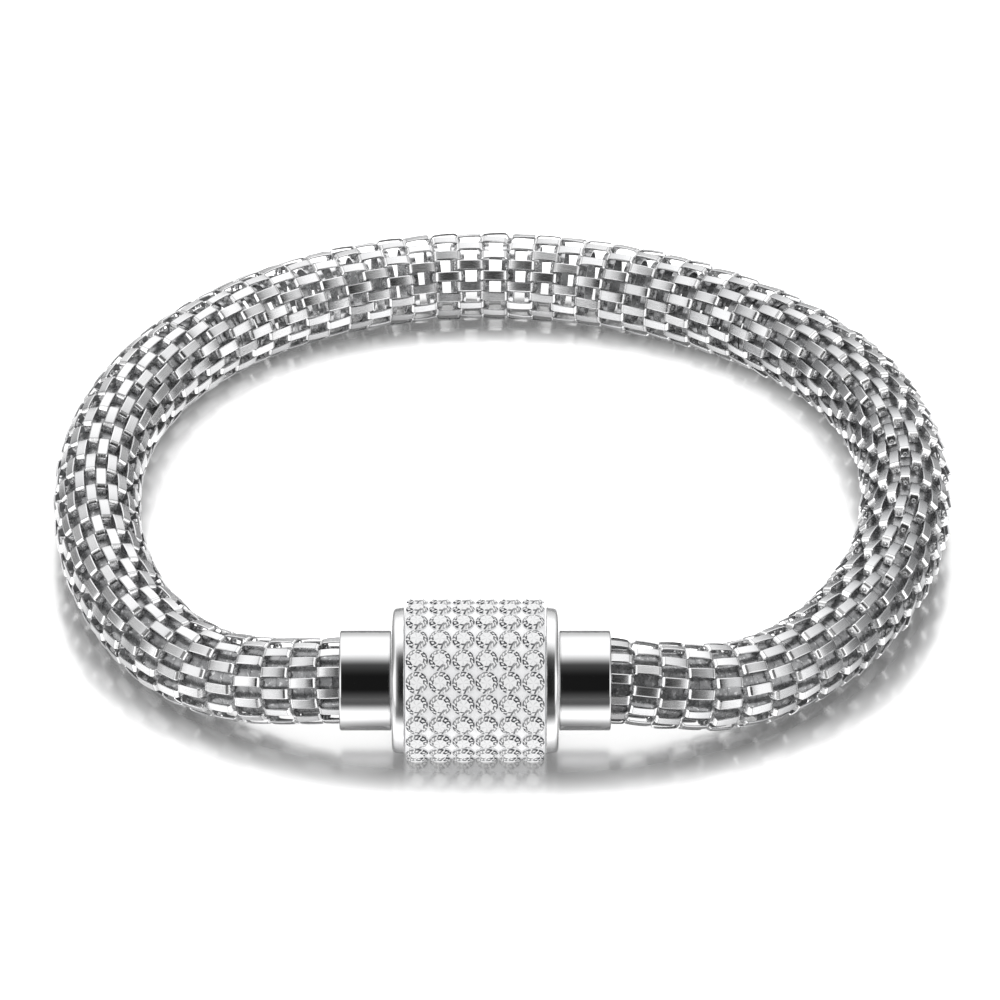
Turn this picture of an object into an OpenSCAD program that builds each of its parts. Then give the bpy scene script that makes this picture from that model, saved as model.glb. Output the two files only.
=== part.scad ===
// A bracelet of woven steel tube, lying on its side.
// The tube's two ends are held in the cups of a barrel clasp set all over with
// round crystals. The clasp is at the front (-Y), its axis along X, and the
// floor is z = 0. Lengths are millimetres, angles are degrees.

/* [Woven tube] */
// Outside diameter of the woven tube where it lies free
tube_d = 7.1; // [6.7:0.1:7.2]
// Depth of the weave, from its outer bars to its inner legs
tube_wall = 1.2; // [0.8:0.1:1.6]
// Slack between the tube and the cups that hold its ends
tube_end_play = 0.15; // [0.1:0.05:0.3]

/* [Barrel] */
// Diameter of the barrel over the tables of its crystals
barrel_d = 13; // [12.6:0.1:13.6]
// Length of the barrel between its two rims
barrel_len = 11.1; // [10.9:0.1:11.6]
// Depth of the setting's surface below the tables
setting_drop = 0.3; // [0.25:0.01:0.34]
// Rounding of the setting's two ends
setting_edge = 0.6; // [0.3:0.1:1]
// Diameter of the hidden core that carries the barrel and the rims
core_d = 7; // [6:0.2:7.2]

/* [Rims and cups] */
// Diameter of the polished rims
rim_d = 11.7; // [10.6:0.1:12]
// Thickness of a rim along the clasp
rim_w = 1; // [0.8:0.05:1.4]
// Outside diameter of the cups
cup_d = 8; // [7.9:0.1:9]
// Length of a cup
cup_len = 4.1; // [3.6:0.1:5]
// Thickness of a cup's wall
cup_wall = 0.35; // [0.2:0.05:0.35]
// Thickness of a cup's floor
cup_floor = 1; // [0.6:0.1:1.2]
// Play between neighbouring pieces of the clasp
piece_gap = 0.05; // [0.03:0.01:0.1]

/* [Crystals] */
// Diameter of a crystal at its girdle
crystal_d = 1.65; // [1.4:0.05:1.65]
// Width of a crystal's table, as a share of its diameter
table_share = 0.58; // [0.5:0.02:0.66]
// Height of a crystal's crown, from girdle to table
crown_h = 0.24; // [0.2:0.01:0.24]
// Depth of a crystal's point below its girdle
point_h = 0.56; // [0.5:0.02:0.7]
// Crystals in a row along the barrel
crystal_columns = 6; // [3:1:6]
// Crystals in a ring round the barrel
crystal_rows = 22; // [12:1:22]
// Pitch of the crystals along the barrel
crystal_pitch = 1.84; // [1.8:0.01:1.86]

/* [Hidden] */

steel = [0.78, 0.79, 0.8];
bright_steel = [0.88, 0.89, 0.9];
clay_white = [0.9, 0.9, 0.91];
clear_crystal = [0.86, 0.9, 0.95];

// The barrel rests on the floor, so its axis is its own radius above it.
clasp_centre = [-2.2, -24.7, barrel_d / 2];

// Stations along the clasp's axis, measured from its middle.
rim_at = barrel_len / 2 + piece_gap;
cup_at = rim_at + rim_w + piece_gap;
tube_from = cup_at + cup_floor + tube_end_play;
core_half = cup_at - piece_gap;

// The route that the tube's centre takes, from the right cup round the back to
// the left cup. The guide points pull a smooth curve, and a row holds
// x, y, how far the tube is lifted off the floor, and its fullness.
AT_X = 0;
AT_Y = 1;
LIFT = 2;
FULLNESS = 3;
route = [
    [ 17.8, -24.2, 1.05, 1.00],
    [ 24.2, -20.0, 0.45, 1.02],
    [ 29.3, -13.4, 0.20, 1.05],
    [ 32.4,  -5.3, 0.05, 1.06],
    [ 32.9,   3.4, 0,    1.06],
    [ 30.6,  11.7, 0,    1.04],
    [ 25.2,  18.6, 0,    1.01],
    [ 17.2,  23.8, 0,    1.00],
    [  7.5,  27.0, 0,    1.00],
    [ -2.8,  28.0, 0,    1.00],
    [-12.8,  26.3, 0,    1.00],
    [-21.6,  22.1, 0,    1.00],
    [-28.3,  15.8, 0,    1.00],
    [-32.3,   7.7, 0,    1.00],
    [-33.2,  -1.3, 0.05, 1.00],
    [-31.6, -10.2, 0.20, 1.00],
    [-27.7, -17.8, 0.45, 1.00],
    [-22.1, -23.0, 1.05, 1.00]
];
// The tube is squeezed a little where a cup grips it.
gripped = 0.96;
grip_step = 3.8;

tube_sides = 24;
rings_per_guide = 3;
crystal_sides = 8;
fine = 96;
lip_fine = 32;

// The three guide points in a cup lie on the clasp's axis, so the tube leaves
// the cup straight. side is 1 for the right cup and -1 for the left.
function cup_guide(side, step) = [
    clasp_centre.x + side * (tube_from + step * grip_step),
    clasp_centre.y, clasp_centre.z, tube_d / 2 * gripped];
function free_guide(row) = [
    row[AT_X], row[AT_Y],
    tube_d / 2 * row[FULLNESS] + row[LIFT], tube_d / 2 * row[FULLNESS]];
guides = concat(
    [for (step = [-1:1]) cup_guide(1, step)],
    [for (row = route) free_guide(row)],
    [for (step = [1:-1:-1]) cup_guide(-1, step)]);

// A uniform cubic B-spline: the weights of four guides, and of their slope.
function pull(t) = [
    pow(1 - t, 3), 3 * pow(t, 3) - 6 * t * t + 4,
    -3 * pow(t, 3) + 3 * t * t + 3 * t + 1, pow(t, 3)] / 6;
function slope(t) = [
    -pow(1 - t, 2), 3 * t * t - 4 * t, -3 * t * t + 2 * t + 1, t * t] / 2;
function four_guides(i) = [for (k = [0:3]) guides[i + k]];
function flat3(v) = [v[0], v[1], v[2]];
function unit(v) = v / norm(v);

// A ring is its centre, its radius and the two directions that span it.
function ring_at(i, t) =
    let (here = pull(t) * four_guides(i),
         along = unit(flat3(slope(t) * four_guides(i))),
         across = unit(cross(along, [0, 0, 1])))
    [flat3(here), here[3], across, cross(across, along)];
spans = len(guides) - 3;
rings = [
    for (i = [0:spans - 1], k = [0:rings_per_guide - 1]) ring_at(i, k / rings_per_guide),
    ring_at(spans - 1, 1)];

function ring_point(ring, inset, side) =
    let (a = side * 360 / tube_sides, r = ring[1] - inset)
    ring[0] + r * cos(a) * ring[2] + r * sin(a) * ring[3];

// A square patch of skin as two triangles.
function patch(a, b, c, d) = [[a, c, b], [a, d, c]];

module mesh_tube() {
    last = len(rings) - 1;
    inner = len(rings) * tube_sides;
    outer_points = [for (ring = rings, s = [0:tube_sides - 1]) ring_point(ring, 0, s)];
    inner_points = [for (ring = rings, s = [0:tube_sides - 1]) ring_point(ring, tube_wall, s)];
    faces = [
        for (k = [0:last - 1], s = [0:tube_sides - 1])
            let (n = (s + 1) % tube_sides, a = k * tube_sides, b = a + tube_sides)
            each concat(patch(a + s, b + s, b + n, a + n),
                        patch(inner + a + n, inner + b + n, inner + b + s, inner + a + s)),
        for (s = [0:tube_sides - 1])
            let (n = (s + 1) % tube_sides, e = last * tube_sides)
            each concat(patch(s, n, inner + n, inner + s),
                        patch(e + n, e + s, inner + e + s, inner + e + n))];
    color(steel) polyhedron(points = concat(outer_points, inner_points), faces = faces);
}

// Turns a piece made along +Z onto the clasp's axis, pointing to one side.
module on_clasp(side = 1) {
    translate(clasp_centre) rotate([0, side * 90, 0]) children();
}

// A turned ring from z = 0 to w, with its two outer edges rounded.
module turned_ring(r_in, r_out, w, edge) {
    rotate_extrude($fn = fine) {
        translate([r_in, 0]) square([r_out - edge - r_in, w]);
        translate([r_out - 2 * edge, edge]) square([2 * edge, w - 2 * edge]);
        for (z = [edge, w - edge]) translate([r_out - edge, z]) circle(r = edge, $fn = lip_fine);
    }
}

module rim(side) {
    rim_edge = 0.45 * rim_w;
    color(bright_steel) on_clasp(side) translate([0, 0, rim_at])
        turned_ring(core_d / 2 + piece_gap, rim_d / 2, rim_w, rim_edge);
}

// A cup is a floor and a thin wall, with a rounded lip at its mouth.
module end_cup(side) {
    bore = cup_d / 2 - cup_wall;
    lip = cup_wall / 2;
    color(bright_steel) on_clasp(side) translate([0, 0, cup_at]) {
        rotate_extrude($fn = fine) {
            square([cup_d / 2, cup_floor]);
            translate([bore, 0]) square([cup_wall, cup_len - lip]);
            translate([bore + lip, cup_len - lip]) circle(r = lip, $fn = lip_fine);
        }
    }
}

module clasp_core() {
    color(steel) on_clasp() translate([0, 0, -core_half])
        cylinder(h = 2 * core_half, r = core_d / 2, $fn = fine);
}

// Puts a piece, made along +Z from the clasp's axis, at every crystal's place.
// One row of crystals points straight down and carries the barrel.
module at_each_crystal() {
    for (column = [0:crystal_columns - 1], row = [0:crystal_rows - 1])
        translate(clasp_centre + [(column - (crystal_columns - 1) / 2) * crystal_pitch, 0, 0])
            rotate([180 + row * 360 / crystal_rows, 0, 0])
                children();
}

girdle_r = barrel_d / 2 - crown_h;
seat_play = 0.06;

// The setting is a clay sleeve with a pointed seat under each crystal.
module crystal_setting() {
    setting_r = barrel_d / 2 - setting_drop;
    seat_floor = girdle_r - point_h - seat_play;
    seat_h = 1.2 * point_h;
    spread = crystal_d / 2 / point_h;
    color(clay_white) difference() {
        on_clasp() translate([0, 0, -barrel_len / 2])
            turned_ring(core_d / 2 + piece_gap, setting_r, barrel_len, setting_edge);
        at_each_crystal() translate([0, 0, seat_floor])
            cylinder(h = seat_h, r1 = seat_play, r2 = seat_play + spread * seat_h, $fn = lip_fine);
    }
}

// A cut crystal: an eight-sided table, sixteen crown facets and an eight-sided
// point.
module crystal() {
    n = crystal_sides;
    table_r = crystal_d / 2 * table_share;
    function corner(r, h, turn) =
        [for (k = [0:n - 1]) [r * cos((k + turn) * 360 / n), r * sin((k + turn) * 360 / n), h]];
    points = concat(corner(table_r, barrel_d / 2, 0.5), corner(crystal_d / 2, girdle_r, 0),
                    [[0, 0, girdle_r - point_h]]);
    faces = [
        [for (k = [n - 1:-1:0]) k],
        for (k = [0:n - 1])
            let (next = (k + 1) % n)
            each [[n + k, k, n + next], [n + next, k, next], [n + k, n + next, 2 * n]]];
    polyhedron(points = points, faces = faces);
}

module crystals() {
    color(clear_crystal) at_each_crystal() crystal();
}

mesh_tube();
end_cup(-1);  // end_cup_left
end_cup(1);  // end_cup_right
rim(-1);  // rim_left
rim(1);  // rim_right
crystal_setting();
crystals();
clasp_core();
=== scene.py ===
import math
import random

import bmesh
import bpy
import numpy as np
from mathutils import Matrix, Vector


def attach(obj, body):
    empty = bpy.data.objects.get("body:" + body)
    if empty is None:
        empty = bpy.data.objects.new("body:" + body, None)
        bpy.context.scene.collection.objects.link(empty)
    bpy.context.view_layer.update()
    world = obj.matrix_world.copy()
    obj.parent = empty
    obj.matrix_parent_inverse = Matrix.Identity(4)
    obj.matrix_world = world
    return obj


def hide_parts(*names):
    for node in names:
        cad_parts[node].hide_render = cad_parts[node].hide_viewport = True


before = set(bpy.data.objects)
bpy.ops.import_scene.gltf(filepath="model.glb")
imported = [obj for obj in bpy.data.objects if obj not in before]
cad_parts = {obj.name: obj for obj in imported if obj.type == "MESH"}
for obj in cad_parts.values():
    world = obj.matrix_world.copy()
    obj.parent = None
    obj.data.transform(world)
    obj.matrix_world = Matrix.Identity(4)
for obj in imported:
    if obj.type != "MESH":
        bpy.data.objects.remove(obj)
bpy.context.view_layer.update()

random.seed(7)


# The woven tube's links. Each link is a steel ribbon pressed into an arch: a nearly flat top
# that rounds down at both ends into legs, with a small round bead pushed out of each leg. Twelve
# links make a ring, and each ring is turned half a link's place against the last.
MM = 0.001
ribbon_width = 0.79 * MM
ribbon_thick = 0.13 * MM
# How far in and how far down the ribbon's long edges are rounded off.
ribbon_edge = (0.07 * MM, 0.04 * MM)
link_length = 2.38 * MM
link_flat = 0.52 * MM
# The bends from the flat middle to a leg: their radius in millimetres, degrees and steps.
link_bends = ((5.0, 6, 1), (0.45, 72, 4))
leg_length = 0.45 * MM
link_fold = math.radians(26)
bead_radius = 0.21 * MM
bead_height = 0.12 * MM
bead_sides = 8
bead_rings = 4
# The part of a bead's ball below this share of its radius would lie inside the leg.
bead_cut = -0.1
# A face of a link takes painted shade, a duller colour, if it looks squarely enough towards a
# point this far under its top, or squarely enough sideways beyond this share of its length.
arch_drop = 2 * MM
inward_from = 0.35
sideways_from = 0.2
shaded_edge_from = 0.45
links_in_ring = 12
# How deep a link's top lies in the tube's outline, and how much deeper for each degree it leans.
link_sink = 0.02 * MM
lean_sink = 0.014 * MM
# How far a link may turn about its length and rock along it, and how much of the step between
# rings a ring may slip.
link_roll = math.radians(7.0)
link_rock = math.radians(4.0)
ring_slip = 0.06
# How much of a link's tone is its own, at random. The rest is painted shade: the link's colour
# is duller the more it leans.
own_tone = 0.4
# The tube is twisted a little on its way round: degrees at the right cup, the back, the left cup.
tube_twist = (1.0, 3.0, 9.3)

# The route of the tube's middle, from the right cup round the back to the left cup. A row
# holds x, y, the lift off the floor, the fullness of the tube, the pitch of its rings, how many
# degrees its links lean, and how much of the pitch its hoops cover. Lengths are millimetres.
tube_radius = 3.55
route = (
    (17.8, -24.2, 1.05, 1.00, 2.10, 3, 1.18),
    (24.2, -20.0, 0.45, 1.02, 2.05, 7, 1.24),
    (29.3, -13.4, 0.20, 1.05, 1.90, 10, 1.20),
    (32.4, -5.3, 0.05, 1.06, 1.84, 12, 1.13),
    (32.9, 3.4, 0, 1.06, 1.84, 12, 1.12),
    (30.6, 11.7, 0, 1.04, 1.84, 11, 1.12),
    (25.2, 18.6, 0, 1.01, 1.88, 8, 1.04),
    (17.2, 23.8, 0, 1.00, 2.00, 4, 0.70),
    (7.5, 27.0, 0, 1.00, 2.08, 0, 0.47),
    (-2.8, 28.0, 0, 1.00, 2.08, 0, 0.47),
    (-12.8, 26.3, 0, 1.00, 1.98, 0, 0.54),
    (-21.6, 22.1, 0, 1.00, 1.90, 0, 0.80),
    (-28.3, 15.8, 0, 1.00, 1.88, 0, 1.04),
    (-32.3, 7.7, 0, 1.00, 1.88, 0, 1.13),
    (-33.2, -1.3, 0.05, 1.00, 1.88, 0, 1.15),
    (-31.6, -10.2, 0.20, 1.00, 1.90, 0, 1.20),
    (-27.7, -17.8, 0.45, 1.00, 2.00, 0, 1.24),
    (-22.1, -23.0, 1.05, 1.00, 2.08, 0, 1.20),
)
route_steps = 2000
# Where the cups hold the tube: its fullness, pitch and cover, how far from the clasp's middle
# its end lies, and the step between its guide points.
gripped = 0.96
cup_pitch = 2.10
cup_cover = 1.12
tube_from = 7.8
grip_step = 3.8
clasp_x, clasp_y, clasp_z = -2.2, -24.7, 6.5
# The columns of a guide point after its x, y and z.
full_at, pitch_at, lean_at, cover_at = 3, 4, 5, 6


def cup_guide(side, step):
    """A guide point on the clasp's axis, inside the cup on that side."""
    return (clasp_x + side * (tube_from + step * grip_step), clasp_y, clasp_z,
            gripped, cup_pitch, 0, cup_cover)


def free_guide(row):
    """A guide point of the free tube: x, y, z, fullness, ring pitch, lean and cover."""
    x, y, lift, fullness, *weave_here = row
    return (x, y, lift + tube_radius * fullness, fullness, *weave_here)


guides = np.array(
    [cup_guide(1, step) for step in (-1, 0, 1)]
    + [free_guide(row) for row in route]
    + [cup_guide(-1, step) for step in (1, 0, -1)]
)
most_lean = guides[:, lean_at].max()


def route_at(place):
    """The guides' smooth curve and its slope, place counting the guide points passed."""
    first = min(int(place), len(guides) - 4)
    t = place - first
    pull = np.array((
        (1 - t) ** 3,
        3 * t**3 - 6 * t * t + 4,
        -3 * t**3 + 3 * t * t + 3 * t + 1,
        t**3)) / 6
    slope = np.array((
        -((1 - t) ** 2),
        3 * t * t - 4 * t,
        -3 * t * t + 2 * t + 1,
        t * t)) / 2
    return pull @ guides[first:first + 4], slope @ guides[first:first + 4]


def weave_places():
    """Where along the route the rings of links lie, at the pitch that the guides ask for, and
    where the hoops lie, midway between each two rings."""
    samples = np.linspace(0, len(guides) - 3, route_steps + 1)
    passed = [0.0]
    for a, b in zip(samples, samples[1:]):
        here, slope = route_at((a + b) / 2)
        passed.append(passed[-1] + (b - a) * np.linalg.norm(slope[:3]) / here[pitch_at])
    rings = int(passed[-1])
    of_rings = (np.arange(rings) + 0.5) * passed[-1] / rings
    of_hoops = of_rings[:-1] + 0.5 * passed[-1] / rings
    return np.interp(of_rings, passed, samples), np.interp(of_hoops, passed, samples)


ring_places, hoop_places = weave_places()


def ring_frame(place):
    """The tube's middle, its radius and its directions along, across and up, at a place."""
    here, slope = route_at(place)
    along = Vector(slope[:3]).normalized()
    across = along.cross(Vector((0, 0, 1))).normalized()
    return Vector(here[:3]) * MM, tube_radius * here[full_at] * MM, along, across, across.cross(along)


def newest_edges(geometry):
    """The edges among what an operator made."""
    return [part for part in geometry if isinstance(part, bmesh.types.BMEdge)]


def pushed(bm, edges, way):
    """Draws a tube's open end out along a way, and gives the edges of its new end."""
    made = bmesh.ops.extrude_edge_only(bm, edges=edges)["geom"]
    corners = [part for part in made if isinstance(part, bmesh.types.BMVert)]
    bmesh.ops.translate(bm, vec=way, verts=corners)
    return [edge for edge in newest_edges(made) if all(v in corners for v in edge.verts)]


def bent_leg(bm, side, edges):
    """Bends the ribbon's open end down on one side, draws the leg out of it and closes the foot.
    Gives the leg's long faces and its outer face."""
    bent = 0
    centre = Vector((side * link_flat / 2, 0, 0))
    last_radius = 0
    for radius, degrees, steps in link_bends:
        inward = Vector((-side * math.sin(math.radians(bent)), 0, -math.cos(math.radians(bent))))
        centre = centre + inward * (radius - last_radius) * MM
        last_radius = radius
        bent += degrees
        edges = newest_edges(bmesh.ops.spin(
            bm, geom=edges + list({v for e in edges for v in e.verts}), cent=centre,
            axis=(0, 1, 0), dvec=(0, 0, 0), angle=side * math.radians(degrees), steps=steps,
            use_merge=False, use_normal_flip=False, use_duplicate=False)["geom_last"])
    way = Vector((side * math.cos(math.radians(bent)), 0, -math.sin(math.radians(bent))))
    edges = pushed(bm, edges, way * leg_length)
    leg = {face for edge in edges for face in edge.link_faces}
    front = max(leg, key=lambda face: side * face.calc_center_median().x)
    bmesh.ops.contextual_create(bm, geom=edges)
    return leg, front


def raised_bead(bm, front):
    """Half a flattened ball on the middle of a leg's outer face; gives its faces."""
    out = front.normal.copy()
    wide = Vector((0, 1, 0))
    turn = Matrix((wide, out.cross(wide), out)).transposed()
    ball = bmesh.ops.create_uvsphere(
        bm, u_segments=bead_sides, v_segments=bead_rings, radius=1.0)["verts"]
    hidden = [corner for corner in ball if corner.co.z < bead_cut]
    shown = [corner for corner in ball if corner.co.z >= bead_cut]
    bmesh.ops.delete(bm, geom=hidden, context="VERTS")
    size = Matrix.Diagonal((bead_radius, bead_radius, bead_height))
    for corner in shown:
        corner.co = front.calc_center_median() + turn @ (size @ corner.co)
    return {face for corner in shown for face in corner.link_faces}


def takes_painted_shade(face):
    """Whether a face of the link looks into its arch, or is a long edge near one of its ends, and so
    takes painted shade.
    """
    middle_x = face.calc_center_median().x
    into_arch = Vector((-middle_x, 0, -arch_drop)).normalized()
    looks_in = face.normal.dot(into_arch) > inward_from
    near_end = abs(middle_x) > shaded_edge_from * link_length
    return looks_in or (near_end and abs(face.normal.y) > sideways_from)


def pressed_link():
    """One link with the middle of its top at z = 0 and its length along x. Each face holds
    whether it is a bead's, and whether it takes painted shade, as on the link's inside."""
    bm = bmesh.new()
    half = ribbon_width / 2
    inset, drop = ribbon_edge
    outline = (
        (-half + inset, 0), (half - inset, 0), (half, -drop),
        (half - inset / 4, -ribbon_thick), (-half + inset / 4, -ribbon_thick), (-half, -drop))
    corners = [bm.verts.new((-link_flat / 2, y, z)) for y, z in outline]
    start = [bm.edges.new((a, b)) for a, b in zip(corners, corners[1:] + corners[:1])]
    end = pushed(bm, start, (link_flat, 0, 0))
    left_leg, left_front = bent_leg(bm, -1, start)
    right_leg, right_front = bent_leg(bm, 1, end)
    bmesh.ops.recalc_face_normals(bm, faces=bm.faces)
    beads = raised_bead(bm, left_front) | raised_bead(bm, right_front)
    # The legs, the beads and the faces that look into the arch take painted shade.
    painted_shade_faces = left_leg | right_leg | beads
    uv = bm.loops.layers.uv.new("link")
    inside = bm.faces.layers.float.new("inside")
    bead = bm.faces.layers.float.new("bead")
    for face in bm.faces:
        face.smooth = True
        face[inside] = 1.0 if face in painted_shade_faces or takes_painted_shade(face) else 0.0
        face[bead] = 1.0 if face in beads else 0.0
        for loop in face.loops:
            loop[uv].uv = (loop.vert.co.x / link_length + 0.5, loop.vert.co.y / ribbon_width + 0.5)
    for edge in bm.edges:
        edge.smooth = edge.calc_face_angle(0) < link_fold or not beads.isdisjoint(edge.link_faces)
    mesh = bpy.data.meshes.new("pressed_link")
    bm.to_mesh(mesh)
    bm.free()
    mesh.attributes.new("tone_and_painted_light", "FLOAT", "FACE")
    return mesh


def weave(share_from, share_to):
    """The rings of links on one share of the route, each link rocked a little in its place."""
    link = pressed_link()
    bm = bmesh.new()
    rings = len(ring_places)
    ring_step = (ring_places[-1] - ring_places[0]) / rings
    for number in range(int(rings * share_from), int(rings * share_to)):
        place = ring_places[number] + random.uniform(-ring_slip, ring_slip) * ring_step
        middle, radius, along, across, up = ring_frame(place)
        lean = route_at(place)[0][lean_at]
        twist = np.interp(number / (rings - 1), (0, 0.5, 1), tube_twist)
        for step in range(links_in_ring):
            angle = 2 * math.pi * (step + 0.5 * (number % 2)) / links_in_ring + math.radians(twist)
            out = across * math.cos(angle) + up * math.sin(angle)
            seat = middle + out * (radius - link_sink - lean_sink * lean)
            turn = Matrix((along, out.cross(along), out)).transposed().to_4x4()
            rock = Matrix.Rotation(math.radians(lean) + random.uniform(-link_rock, link_rock), 4, "Y")
            roll = Matrix.Rotation(random.uniform(-link_roll, link_roll), 4, "X")
            placed = link.copy()
            placed.transform(Matrix.Translation(seat) @ turn @ rock @ roll)
            # Painted shade: a leaning link is coloured duller, mixed with its own random tone.
            lean_shaded_tone = (1 - own_tone) * (1 - lean / most_lean) + own_tone * random.random()
            shade_and_tone_values = placed.attributes["tone_and_painted_light"].data
            shade_and_tone_values.foreach_set("value", [lean_shaded_tone] * len(shade_and_tone_values))
            bm.from_mesh(placed)
            bpy.data.meshes.remove(placed)
    bpy.data.meshes.remove(link)
    return bm


def show(name, bm, finish):
    """Makes a piece of a shape, gives it its finish, and lets it ride on the bracelet."""
    mesh = bpy.data.meshes.new(name)
    bm.to_mesh(mesh)
    bm.free()
    piece = bpy.data.objects.new(name, mesh)
    bpy.context.scene.collection.objects.link(piece)
    mesh.materials.append(finish)
    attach(piece, "root")
    return piece


class Tone:
    """A shader socket. Arithmetic on it adds Math nodes, and node() adds any other node."""

    def __init__(self, socket):
        self.socket = socket
        self.tree = socket.id_data

    def node(self, kind, sockets=(), output=0, **settings):
        made = self.tree.nodes.new(kind)
        for name, value in settings.items():
            setattr(made, name, value)
        for name, value in dict(sockets).items():
            if isinstance(value, Tone):
                self.tree.links.new(value.socket, made.inputs[name])
            else:
                made.inputs[name].default_value = value
        return Tone(made.outputs[output])

    def math(self, operation, *values):
        return self.node("ShaderNodeMath", dict(enumerate(values)), operation=operation)

    def __add__(self, other):
        return self.math("ADD", self, other)

    def __radd__(self, other):
        return self.math("ADD", other, self)

    def __sub__(self, other):
        return self.math("SUBTRACT", self, other)

    def __rsub__(self, other):
        return self.math("SUBTRACT", other, self)

    def __mul__(self, other):
        return self.math("MULTIPLY", self, other)

    def __rmul__(self, other):
        return self.math("MULTIPLY", other, self)

    def __abs__(self):
        return self.math("ABSOLUTE", self)

    def sine(self):
        return self.math("SINE", self)

    def cosine(self):
        return self.math("COSINE", self)

    def or_more(self, other):
        """The larger of this and another."""
        return self.math("MAXIMUM", self, other)

    def rise(self, low, high):
        """0 below low, 1 above high, and smooth between."""
        sockets = {"Value": self, "From Min": low, "From Max": high}
        return self.node("ShaderNodeMapRange", sockets, interpolation_type="SMOOTHSTEP")

    def axis(self, number):
        """One of a vector's three numbers."""
        return self.node("ShaderNodeSeparateXYZ", {"Vector": self}, output=number)

    def stretched(self, times):
        """A vector with each of its numbers multiplied."""
        return self.node("ShaderNodeVectorMath", {0: self, 1: times}, operation="MULTIPLY")

    def attribute(self, name):
        """A number that the piece's faces hold under a name."""
        return self.node("ShaderNodeAttribute", output=2, attribute_name=name)

    def noise(self, vector, scale, detail=2.0):
        """Plain noise from 0 to 1 over a vector."""
        return self.node("ShaderNodeTexNoise", {"Vector": vector, "Scale": scale, "Detail": detail})

    def blend(self, low, high):
        """The colour low where this is 0, and high where it is 1."""
        return self.node("ShaderNodeMix", {0: self, 6: low, 7: high}, output=2, data_type="RGBA")


class Finish:
    """A procedural material with one Principled shader, and its first socket to work from."""

    def __init__(self, name, **constants):
        self.material = bpy.data.materials.new(name)
        self.material.use_nodes = True
        # Rays find the little light that a finish gives off by chance alone, which saves time.
        self.material.cycles.emission_sampling = "NONE"
        self.shader = self.material.node_tree.nodes["Principled BSDF"]
        for socket, value in constants.items():
            self.shader.inputs[socket.replace("_", " ")].default_value = value
        coordinates = self.material.node_tree.nodes.new("ShaderNodeTexCoord")
        self.place = Tone(coordinates.outputs["Object"])

    def give(self, socket, tone_and_painted_light):
        self.material.node_tree.links.new(tone_and_painted_light.socket, self.shader.inputs[socket])

    def relief(self, height, strength, distance):
        """Small relief over the surface, height from 0 to 1 standing for distance."""
        sockets = {"Height": height, "Strength": strength, "Distance": distance}
        self.give("Normal", height.node("ShaderNodeBump", sockets))


# Painted light and shade on the ribbon: its colour as if shaded and as if lit, a painted highlight on
# its ends, and painted shade in its creases and on its inside.
painted_shaded_ribbon = (0.32, 0.324, 0.332, 1)
painted_lit_ribbon = (0.68, 0.68, 0.685, 1)
painted_bright_end = (0.84, 0.84, 0.845, 1)
painted_crease_shade = (0.19, 0.19, 0.2, 1)
painted_inside_shade = (0.50, 0.503, 0.51, 1)
# Shares of a link's length, out from its middle. Each pair is one soft step: to the crease's painted
# shade, to the polished end with its painted highlight, and to and from the painted glow on the lip
# of that end.
crease_from = (0.345, 0.36)
end_from = (0.375, 0.395)
lip_from = (0.385, 0.4)
lip_to = (0.435, 0.45)


def ribbon_steel():
    """Pressed steel ribbon: drawn lines along it, polished ends with a painted highlight, and painted
    shade in a crease before each, on the link's inside and on leaning links. The beads and the bends'
    lips glow with a painted highlight where the ribbon between them is dull."""
    steel = Finish("ribbon_steel", Emission_Strength=1.0)
    uv = steel.place.node("ShaderNodeUVMap", uv_map="link")
    along = uv.axis(0)
    across = uv.axis(1)
    tone_and_painted_light = uv.attribute("tone_and_painted_light")
    inside = uv.attribute("inside")
    bead = uv.attribute("bead")
    # The lines run along the ribbon, and a link's tone gives it lines of its own.
    drawn = {"X": along * 0.7 + tone_and_painted_light * 40, "Y": across * 9, "Z": tone_and_painted_light * 7}
    lines = uv.noise(uv.node("ShaderNodeCombineXYZ", drawn), 3.0, 3.0)
    outward = abs(along - 0.5)
    end = outward.rise(*end_from)
    crease = outward.rise(*crease_from) * (1 - end)
    # Painted shade: the duller a link is, the more it darkens from one end to the other.
    painted_light_share = tone_and_painted_light + (0.5 - along) * (1 - tone_and_painted_light) * 1.1
    # Painted highlight: the polished ends are coloured brighter than the ribbon.
    polished = end.blend(painted_light_share.blend(painted_shaded_ribbon, painted_lit_ribbon), painted_bright_end)
    # Painted shade in the crease before each polished end.
    with_painted_crease_shade = (crease * 0.38).blend(polished, painted_crease_shade)
    # Painted shade: the link's inside, legs and beads take a dull grey in place of the ribbon colour.
    steel.give("Base Color", inside.blend(with_painted_crease_shade, painted_inside_shade))
    # Painted highlight: the beads and the lips of the bends glow, most on dull links.
    lip = outward.rise(*lip_from) * (1 - outward.rise(*lip_to)) * (1 - inside)
    painted_glint = (bead + lip * 0.55) * (1 - tone_and_painted_light)
    steel.give("Emission Color", painted_glint.blend((0, 0, 0, 1), (1.0, 1.0, 1.0, 1)))
    steel.give("Metallic", 1 - inside * 0.5)
    steel.give("Roughness", 0.2 + lines * 0.14 - end * 0.07 + inside * 0.2)
    steel.relief(lines, 1.0, 0.006 * MM)
    return steel.material


link_steel = ribbon_steel()
for half, word in enumerate(("right", "left")):
    links = show("woven_links_" + word, weave(half / 2, (half + 1) / 2), link_steel)
    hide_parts("mesh_tube")


# The hoops inside the woven tube. Each is a flat steel band closed to a ring, where two rings of
# links meet, and the links' legs stand on it. The hoops overlap a little where the weave is
# pushed together, and lie apart at the back, where light comes through.
hoop_thick = 0.12 * MM
hoop_depth = 0.84 * MM
hoop_corners = 36
hoop_fold = math.radians(42)
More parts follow.
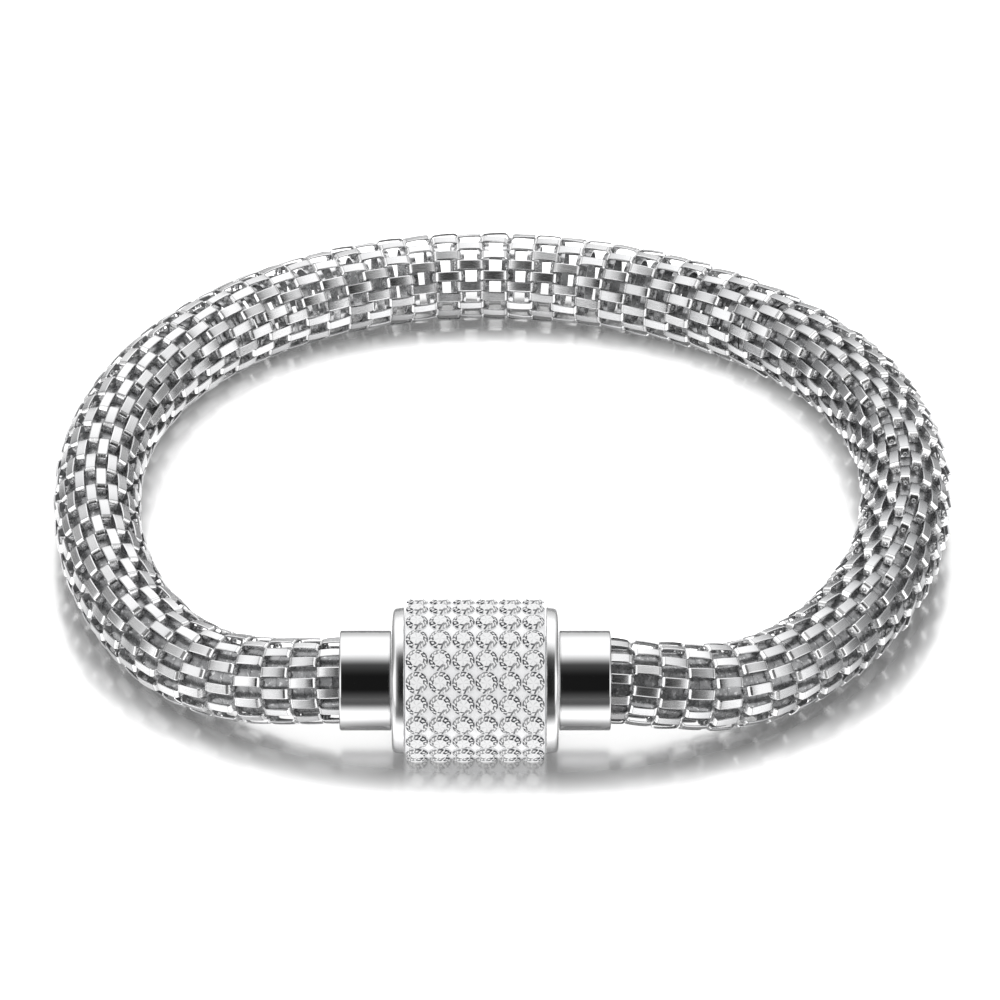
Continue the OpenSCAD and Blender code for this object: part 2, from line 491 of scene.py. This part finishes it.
# Painted light and shade on the hoops: how bright a hoop is painted, by the share of the pitch
# that it covers and by its y in millimetres, and how much painted shadow takes from that behind on
# the right, with the x and y over which it does.
light_by_cover = ((0.47, 0.75, 1.08), (1.0, 0.5, 0.24))
light_by_y = ((-24, -10), (0.85, 1.0))
shadow_share = 0.7
shadow_by_x = ((1, 9), (0, 1))
shadow_by_y = ((8, 16), (0, 1))
shaded_band = (0.12, 0.122, 0.128, 1)
lit_band = (0.86, 0.863, 0.87, 1)


def hoop_painted_light(cover, x, y):
    """How bright a hoop is painted, as painted light and shade, where it covers so much of the pitch
    and lies at this x and y.
    """
    shadow_behind_right = np.interp(x, *shadow_by_x) * np.interp(y, *shadow_by_y)
    full_light = np.interp(cover, *light_by_cover) * np.interp(y, *light_by_y)
    return full_light * (1 - shadow_share * shadow_behind_right)


def hoops():
    """All the hoops in their places, each spun from a flat section."""
    bm = bmesh.new()
    painted_hoop_light = bm.faces.layers.float.new("painted_hoop_light")
    for place in hoop_places:
        middle, radius, along, across, up = ring_frame(place)
        here = route_at(place)[0]
        pitch, cover = here[pitch_at], here[cover_at]
        outside = radius - link_sink - hoop_depth
        corners = [
            bm.verts.new(middle + along * side * cover * pitch * MM / 2 + across * (outside - depth))
            for side, depth in ((-1, 0), (1, 0), (1, hoop_thick), (-1, hoop_thick))]
        edges = [bm.edges.new((a, b)) for a, b in zip(corners, corners[1:] + corners[:1])]
        bmesh.ops.spin(
            bm, geom=corners + edges, cent=middle, axis=along, dvec=(0, 0, 0), angle=2 * math.pi,
            steps=hoop_corners, use_merge=True, use_normal_flip=False, use_duplicate=False)
        bm.faces.ensure_lookup_table()
        for face in bm.faces[-len(corners) * hoop_corners:]:
            face[painted_hoop_light] = hoop_painted_light(cover, middle.x / MM, middle.y / MM)
    bmesh.ops.recalc_face_normals(bm, faces=bm.faces)
    for face in bm.faces:
        face.smooth = True
    return bm


def band_steel():
    """Rolled band, painted bright where the weave is open and light comes through, and painted
    dark as shade where it is closed, with a few bright specks of painted highlight."""
    band = Finish("band_steel")
    grain = band.place.noise(band.place, 3000.0)
    patches = band.place.noise(band.place, 1500.0, 4.0)
    painted_sparks = band.place.noise(band.place, 3200.0, 1.0)
    hoop_light = band.place.attribute("painted_hoop_light")
    # Painted light and shade by the hoop's place, its own random patches, and painted specks of
    # highlight.
    tone_and_painted_light = hoop_light * 0.84 + patches.rise(0.4, 0.66) * 0.16 + painted_sparks.rise(0.6, 0.7) * 0.4
    band.give("Base Color", tone_and_painted_light.blend(shaded_band, lit_band))
    band.give("Metallic", 0.5 + hoop_light * 0.5)
    band.give("Roughness", 0.18 + grain * 0.2)
    return band.material


tube_hoops = show("tube_hoops", hoops(), band_steel())
tube_hoops.data.set_sharp_from_angle(angle=hoop_fold)


# The end cups. Each is turned from steel and polished to a mirror, with a flat floor towards
# the barrel and a thin wall with a rounded lip that holds the tube's end. Lengths from here to
# the crystals are millimetres, and those along the clasp count from its middle.
cup_outside = 4.0
cup_wall = 0.35
cup_at = 6.65
cup_length = 4.1
cup_floor = 1.0
cup_ease = 0.08
round_steps = 128
ease_steps = 4
lip_steps = 8
weld_within = 0.0001
turned_fold = math.radians(50)
cup_shade = (0.60, 0.602, 0.607, 1)
cup_bright = (0.64, 0.64, 0.643, 1)


def turned(side, profile):
    """A shape turned round the clasp's axis from its profile: distance along it, and radius."""
    bm = bmesh.new()
    points = [bm.verts.new((clasp_x * MM + side * along * MM, clasp_y * MM, (clasp_z + radius) * MM))
              for along, radius in profile]
    lines = [bm.edges.new(pair) for pair in zip(points, points[1:])]
    bmesh.ops.spin(
        bm, geom=points + lines, cent=(clasp_x * MM, clasp_y * MM, clasp_z * MM), axis=(1, 0, 0),
        dvec=(0, 0, 0), angle=2 * math.pi, steps=round_steps, use_merge=True,
        use_normal_flip=False, use_duplicate=False)
    bmesh.ops.remove_doubles(bm, verts=bm.verts, dist=weld_within * MM)
    bmesh.ops.recalc_face_normals(bm, faces=bm.faces)
    for face in bm.faces:
        face.smooth = True
    return bm


def arc(middle_along, middle_radius, size, start, stop, steps):
    """Points of a rounded edge, from one angle to another in degrees."""
    angles = [math.radians(start + (stop - start) * k / steps) for k in range(steps + 1)]
    return [(middle_along + size * math.cos(a), middle_radius + size * math.sin(a)) for a in angles]


def cup_profile():
    """The cup's outline, from the axis out, along the wall to the lip and back to the floor."""
    lip = cup_wall / 2
    return (
        [(cup_at, 0.0)]
        + arc(cup_at + cup_ease, cup_outside - cup_ease, cup_ease, 180, 90, ease_steps)
        + arc(cup_at + cup_length - lip, cup_outside - lip, lip, 90, -90, lip_steps)
        + [(cup_at + cup_floor, cup_outside - cup_wall), (cup_at + cup_floor, 0.0)])


def polished_steel():
    """Mirror-polished steel with the faintest turning lines round the clasp's axis."""
    steel = Finish("polished_steel", Metallic=1.0)
    lines = steel.place.noise(steel.place.stretched((9000, 60, 60)), 1.0, 3.0)
    haze = steel.place.noise(steel.place, 350.0)
    steel.give("Base Color", haze.blend(cup_shade, cup_bright))
    steel.give("Roughness", 0.035 + lines * 0.03 + haze * 0.02)
    steel.relief(lines, 0.15, 0.002 * MM)
    return steel.material


cup_finish = polished_steel()
for side, word in ((-1, "left"), (1, "right")):
    cup = show("turned_cup_" + word, turned(side, cup_profile()), cup_finish)
    cup.data.set_sharp_from_angle(angle=turned_fold)
    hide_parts("end_cup_" + word)


# The rims. Each is a polished steel ring at one end of the barrel, standing proud of the cup
# with a softly rounded edge, and pressed on the clasp's core.
rim_at = 5.6
rim_width = 1.0
rim_outside = 5.85
rim_inside = 3.55
rim_taper = 8.0
rim_edge = 0.42
rim_ease = 0.08
rim_edge_steps = 12
rim_shade = (0.60, 0.602, 0.607, 1)
rim_bright = (0.66, 0.66, 0.663, 1)


def rim_profile():
    """The rim's outline: a small ease towards the barrel, a taper and a round edge. It ends where
    it starts, because a rim is open in its middle."""
    drop = (rim_width - rim_edge) * math.tan(math.radians(rim_taper))
    outline = (
        arc(rim_at + rim_ease, rim_outside - rim_ease, rim_ease, 180, 90, ease_steps)
        + arc(rim_at + rim_width - rim_edge, rim_outside - drop - rim_edge, rim_edge,
              90 - rim_taper, 0, rim_edge_steps)
        + [(rim_at + rim_width, rim_inside), (rim_at, rim_inside)])
    return outline + outline[:1]


def rim_steel():
    """The same steel as the cups, finished softer with fine emery."""
    steel = Finish("rim_steel", Metallic=1.0)
    haze = steel.place.noise(steel.place, 900.0)
    steel.give("Base Color", haze.blend(rim_shade, rim_bright))
    steel.give("Roughness", 0.14 + haze * 0.06)
    steel.relief(haze, 0.1, 0.004 * MM)
    return steel.material


rim_finish = rim_steel()
for side, word in ((-1, "left"), (1, "right")):
    rim = show("polished_rim_" + word, turned(side, rim_profile()), rim_finish)
    rim.data.set_sharp_from_angle(angle=turned_fold)
    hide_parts("rim_" + word)


# The setting. A sleeve of silvery-white clay covers the barrel between the rims, and the
# crystals are pressed into it while it is soft. Its solid is shown as it is.
clay_shade = (0.66, 0.665, 0.675, 1)
clay_bright = (0.74, 0.74, 0.745, 1)


def setting_clay():
    """Smooth white clay with a satin gloss and a little shimmer, and a faint painted glow."""
    # Painted light: the clay glows faintly in its own colour, though it is no lamp.
    clay = Finish("setting_clay", Emission_Strength=0.41)
    fleck = clay.place.noise(clay.place, 5200.0, 1.0)
    cloud = clay.place.noise(clay.place, 420.0)
    look = cloud.blend(clay_shade, clay_bright)
    clay.give("Base Color", look)
    clay.give("Emission Color", look)
    clay.give("Roughness", 0.28 + cloud * 0.14)
    clay.give("Metallic", fleck.rise(0.55, 0.75) * 0.2)
    clay.relief(cloud + fleck * 0.2, 0.25, 0.03 * MM)
    return clay.material


def refinish(name, finish):
    """Gives a CAD node that is shown as it is a finish of its own."""
    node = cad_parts[name]
    node.data.materials.clear()
    node.data.materials.append(finish)


refinish("crystal_setting", setting_clay())


# The crystals. Round brilliants of clear glass with a bright foil behind, in six columns of
# twenty-two, each with a table, star, main and girdle facets and a pointed back.
crystal_radius = 0.889
crown_height = 0.24
point_depth = 0.56
table_share = 0.58
crystal_columns = 6
crystal_rows = 22
crystal_pitch = 1.84
barrel_radius = 6.5
# How far a crystal is turned in its seat, in radians: the usual distance from straight.
seat_turn = 0.12
flat_within = math.radians(2)


def cut_crystal():
    """One brilliant with its girdle at z = 0 and its table up."""
    bm = bmesh.new()
    eighth = math.pi / 8
    star_share = (table_share * math.cos(eighth) + 1) / 2
    slope = crown_height / (1 - table_share)
    star_height = crown_height - (star_share * math.cos(eighth) - table_share) * slope
    for share, height, corners, turn in (
            (table_share, crown_height, 8, 0.0),
            (star_share, star_height, 8, eighth),
            (1.0, 0.0, 16, 0.0)):
        ring = bmesh.ops.create_circle(bm, segments=corners, radius=share * crystal_radius * MM)["verts"]
        bmesh.ops.rotate(bm, cent=(0, 0, 0), matrix=Matrix.Rotation(turn, 3, "Z"), verts=ring)
        bmesh.ops.translate(bm, vec=(0, 0, height * MM), verts=ring)
    bm.verts.new((0, 0, -point_depth * MM))
    bmesh.ops.delete(bm, geom=list(bm.edges), context="EDGES_FACES")
    bmesh.ops.convex_hull(bm, input=list(bm.verts))
    bmesh.ops.dissolve_limit(bm, angle_limit=flat_within, verts=bm.verts, edges=bm.edges)
    bmesh.ops.recalc_face_normals(bm, faces=bm.faces)
    uv = bm.loops.layers.uv.new("cut")
    for face in bm.faces:
        for loop in face.loops:
            loop[uv].uv = loop.vert.co.xy / (crystal_radius * MM)
    mesh = bpy.data.meshes.new("cut_crystal")
    bm.to_mesh(mesh)
    bm.free()
    return mesh


def set_crystals():
    """All the crystals in their rows round the barrel, each turned a little in its seat."""
    cut = cut_crystal()
    bm = bmesh.new()
    for column in range(crystal_columns):
        for row in range(crystal_rows):
            shift = (column - (crystal_columns - 1) / 2) * crystal_pitch
            seat = Matrix.Translation(Vector((clasp_x + shift, clasp_y, clasp_z)) * MM)
            swing = Matrix.Rotation(math.pi + 2 * math.pi * row / crystal_rows, 4, "X")
            lift = Matrix.Translation((0, 0, (barrel_radius - crown_height) * MM))
            own_turn = Matrix.Rotation(random.gauss(0, seat_turn), 4, "Z")
            placed = cut.copy()
            placed.transform(seat @ swing @ lift @ own_turn)
            bm.from_mesh(placed)
            bpy.data.meshes.remove(placed)
    bpy.data.meshes.remove(cut)
    return bm


# The pattern is a painted reflection of the facets, and its sizes are shares of the crystal's
# radius. Its dark rope has a lip on each side, which starts to fade and is gone at these distances
# from its middle. Its tail passes through this point, and leans from upright by an angle with this
# cosine and sine.
outer_lip_at = 0.93
inner_lip_at = 0.64
lip_fade = (0.03, 0.09)
tail_x, tail_y = 0.12, -0.72
tail_cosine, tail_sine = 0.84, 0.54
tail_fade = (0.04, 0.11)
# How many dashes make each lip, how many strands lie between the lips and how much they lean,
# and how many faint rays cross the table.
outer_dashes = 9
inner_dashes = 8
rope_strands = 15
strand_lean = 15
table_rays = 5
# The painted reflection's rope is open at the bottom, and as painted shade it is darkest at the
# upper right and the lower left.
open_towards = math.radians(-92)
darkest_towards = math.radians(40)
glass_painted_lit = (0.26, 0.262, 0.268, 1)
glass_painted_dark = (0.01, 0.011, 0.014, 1)
foil_painted_glow = (1.0, 1.0, 1.0, 1)
foil_painted_dark = (0.03, 0.032, 0.038, 1)


def foiled_crystal():
    """Clear crystal over its foil, with its facets' reflections painted on: a bright table with faint
    rays, inside a rope of dark facets that is open at the bottom, where a dark tail crosses it. The
    foil glows as painted light."""
    crystal = Finish(
        "foiled_crystal", Coat_Weight=0.1, Coat_Roughness=0.03, Specular_IOR_Level=0.1,
        Emission_Strength=0.68)
    uv = crystal.place.node("ShaderNodeUVMap", uv_map="cut")
    x = uv.axis(0)
    y = uv.axis(1)
    radius = x.math("SQRT", x * x + y * y)
    angle = x.math("ARCTAN2", y, x)
    speck = uv.noise(crystal.place, 5200.0)
    patch = uv.noise(crystal.place, 1500.0, 1.0)
    downward = (angle - open_towards).cosine()
    opening = downward.rise(0.88, 0.98)
    outer_lip = (1 - abs(radius - outer_lip_at).rise(*lip_fade)) * (1 - opening * 0.9)
    outer_lip = outer_lip * (angle * outer_dashes + patch * 3).sine().rise(-1.0, -0.5)
    inner_lip = 1 - abs(radius - inner_lip_at).rise(*lip_fade)
    inner_lip = inner_lip * (angle * inner_dashes + patch * 4).sine().rise(-0.9, -0.2)
    between = radius.rise(0.62, 0.68) * (1 - radius.rise(0.92, 0.98)) * (1 - opening)
    strands = (angle * rope_strands + radius * strand_lean + patch * 3).sine().rise(-0.1, 0.7)
    off_tail = abs((x - tail_x) * tail_cosine - (y - tail_y) * tail_sine)
    tail = (1 - off_tail.rise(*tail_fade)) * radius.rise(0.42, 0.5) * downward.rise(0.55, 0.7)
    rope = outer_lip.or_more(inner_lip).or_more(strands * between * 0.85).or_more(tail)
    depth = 0.74 + (angle * 2 - 2 * darkest_towards).cosine() * 0.18
    rays = (angle * table_rays + patch * 8).sine().rise(0.4, 0.95) * (1 - radius.rise(0.42, 0.56))
    # Painted reflection: the rope, tail and rays darken the crystal where its facets would mirror dark
    # surroundings.
    dark = rope * depth * (0.9 + speck * 0.6) + rays * 0.17 + speck * 0.12
    crystal.give("Base Color", dark.blend(glass_painted_lit, glass_painted_dark))
    # Painted light: the foil glows, except where the painted reflection darkens it.
    crystal.give("Emission Color", dark.blend(foil_painted_glow, foil_painted_dark))
    crystal.give("Roughness", 0.1 + speck * 0.15)
    return crystal.material


cut_crystals = show("cut_crystals", set_crystals(), foiled_crystal())
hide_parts("crystals")


# The clasp's core. A plain turned steel pin inside the barrel carries the sleeve and the two
# rims, and nothing of it shows while the clasp is closed.
core_shade = (0.5, 0.505, 0.52, 1)
core_bright = (0.66, 0.665, 0.68, 1)


def core_steel():
    """Plain turned steel with open tool marks."""
    steel = Finish("core_steel", Metallic=1.0)
    marks = steel.place.noise(steel.place.stretched((6000, 50, 50)), 1.0)
    steel.give("Base Color", marks.blend(core_shade, core_bright))
    steel.give("Roughness", 0.3 + marks * 0.15)
    steel.relief(marks, 0.3, 0.01 * MM)
    return steel.material


refinish("clasp_core", core_steel())


# The table top. It is white, with a gloss that shows only near the bracelet and at flat angles,
# so that the bracelet's reflection fades out within a centimetre. Near the bracelet its white glow
# is turned down too, a painted shadow.
table_half = 1.5
table_glow = 1.2
matt_white = (0.9, 0.9, 0.9, 1)
gloss_and_shadow_grey = (0.56, 0.56, 0.56, 1)
gloss_roughness = 0.2
# The bracelet's outline on the table, in metres: an oval that is a little square.
loop_size = (0.0325, 0.0265)
loop_middle = (-0.0002, 0.0005)
squareness = 2.3
loop_mean_mm = 29
# The gloss and the painted shadow fade between these distances outside the outline, and sooner inside
# it.
fade_mm = (2.2, 9.0)
fade_inside = 1.4
near_gloss_and_shadow = 0.85
flat_gloss = 0.95


def glossy_white():
    """A matt white that gives off light, less near the bracelet as a painted shadow, mixed with a
    gloss by place and by angle.
    """
    material = bpy.data.materials.new("white_gloss")
    material.use_nodes = True
    tree = material.node_tree
    matt = tree.nodes["Principled BSDF"]
    matt.inputs["Base Color"].default_value = matt_white
    matt.inputs["Roughness"].default_value = 1.0
    matt.inputs["Specular IOR Level"].default_value = 0.0
    matt.inputs["Emission Strength"].default_value = table_glow
    place = Tone(tree.nodes.new("ShaderNodeTexCoord").outputs["Object"])
    reach = 0
    for number in (0, 1):
        off_middle = abs((place.axis(number) - loop_middle[number]) * (1 / loop_size[number]))
        reach = reach + off_middle.math("POWER", off_middle, squareness)
    outward_mm = (reach.math("POWER", reach, 1 / squareness) - 1) * loop_mean_mm
    off_outline = outward_mm.or_more(outward_mm * -fade_inside)
    near = near_gloss_and_shadow * (1 - off_outline.rise(*fade_mm))
    # Painted shadow: the white's glow is grey near the bracelet.
    light = near.blend((1, 1, 1, 1), gloss_and_shadow_grey)
    tree.links.new(light.socket, matt.inputs["Emission Color"])
    grazing = place.node("ShaderNodeLayerWeight", output=1).rise(0.30, 0.80) * flat_gloss
    share = near.or_more(grazing)
    gloss = place.node("ShaderNodeBsdfAnisotropic", {"Roughness": gloss_roughness, "Color": gloss_and_shadow_grey})
    mixed = share.node("ShaderNodeMixShader", {0: share, 1: Tone(matt.outputs[0]), 2: gloss})
    tree.links.new(mixed.socket, tree.nodes["Material Output"].inputs["Surface"])
    return material


floor_mesh = bmesh.new()
bmesh.ops.create_grid(floor_mesh, x_segments=1, y_segments=1, size=table_half)
floor_data = bpy.data.meshes.new("table_top")
floor_mesh.to_mesh(floor_data)
floor_mesh.free()
floor_data.materials.append(glossy_white())
table_top = bpy.data.objects.new("table_top", floor_data)
bpy.context.scene.collection.objects.link(table_top)

# The studio. A white tent lights everything, and a dark card with soft edges stands in it from
# behind the camera to overhead, with grey wings. It gives the polished metal its black bands, and
# the camera itself sees plain white all round.
tent_level = 1.75
backdrop_level = 1.3
# How dark the card, its wings and the far side of the tent are, from 0 to 1.
card_depth = 0.992
wing_depth = 0.72
far_depth = 0.5
# Their soft edges, in degrees of swing for those that lie level, and in a sky with a radius of 1
# for those at the sides.
card_middle = 0.08
card_sides = (0.3, 0.6)
card_bottom = (-40, 0)
card_top = (76, 111)
wing_sides = (0.32, 0.9)
wing_bottom = (55, 100)
far_bottom = (148, 178)
tent = bpy.data.worlds.new("white_tent")
bpy.context.scene.world = tent
tent.use_nodes = True
background = tent.node_tree.nodes["Background"]
background.inputs["Color"].default_value = (1, 1, 1, 1)
sky = Tone(tent.node_tree.nodes.new("ShaderNodeTexCoord").outputs["Generated"])
east = sky.axis(0)
# Degrees up from the horizon on the camera's side, over the top and down to the far horizon.
swing = sky.math("ARCTAN2", sky.axis(2), sky.axis(1) * -1) * (180 / math.pi)
card_width = 1 - abs(east - card_middle).rise(*card_sides)
card = swing.rise(*card_bottom) * (1 - swing.rise(*card_top)) * card_width
# The card is a little lighter at its top and towards the floor.
card_glow = swing.rise(50, 85) * 0.05 + (1 - swing.rise(-5, 22)) * 0.08
card_dark = card * (card_depth - card_glow)
wings = abs(east).rise(*wing_sides) * swing.rise(*wing_bottom) * wing_depth
far_grey = swing.rise(*far_bottom) * far_depth
level = tent_level * (1 - card_dark) * (1 - far_grey) * (1 - wings)
camera_ray = Tone(tent.node_tree.nodes.new("ShaderNodeLightPath").outputs["Is Camera Ray"])
seen = level.node(
    "ShaderNodeMix", {0: camera_ray, 2: level, 3: backdrop_level}, output=0, data_type="FLOAT")
tent.node_tree.links.new(seen.socket, background.inputs["Strength"])
bpy.context.scene.view_settings.view_transform = "Standard"

# The camera looks down on the clasp from in front, from 42 degrees above the table, through a
# long lens. The picture is 1000 pixels wide, at 12.3 pixels to the millimetre at its target.
camera_height = math.radians(42)
camera_away = 1.0
target = Vector((-0.24, 3.85, 0)) * MM
pixels_per_metre = 12300
picture_width = 1000
sensor = 36.0
lens = bpy.data.cameras.new("camera")
lens.sensor_width = sensor
lens.lens = sensor * camera_away * pixels_per_metre / picture_width
camera = bpy.data.objects.new("camera", lens)
bpy.context.scene.collection.objects.link(camera)
camera.location = target + camera_away * Vector((0, -math.cos(camera_height), math.sin(camera_height)))
camera.rotation_euler = (math.pi / 2 - camera_height, 0, 0)
bpy.context.scene.camera = camera
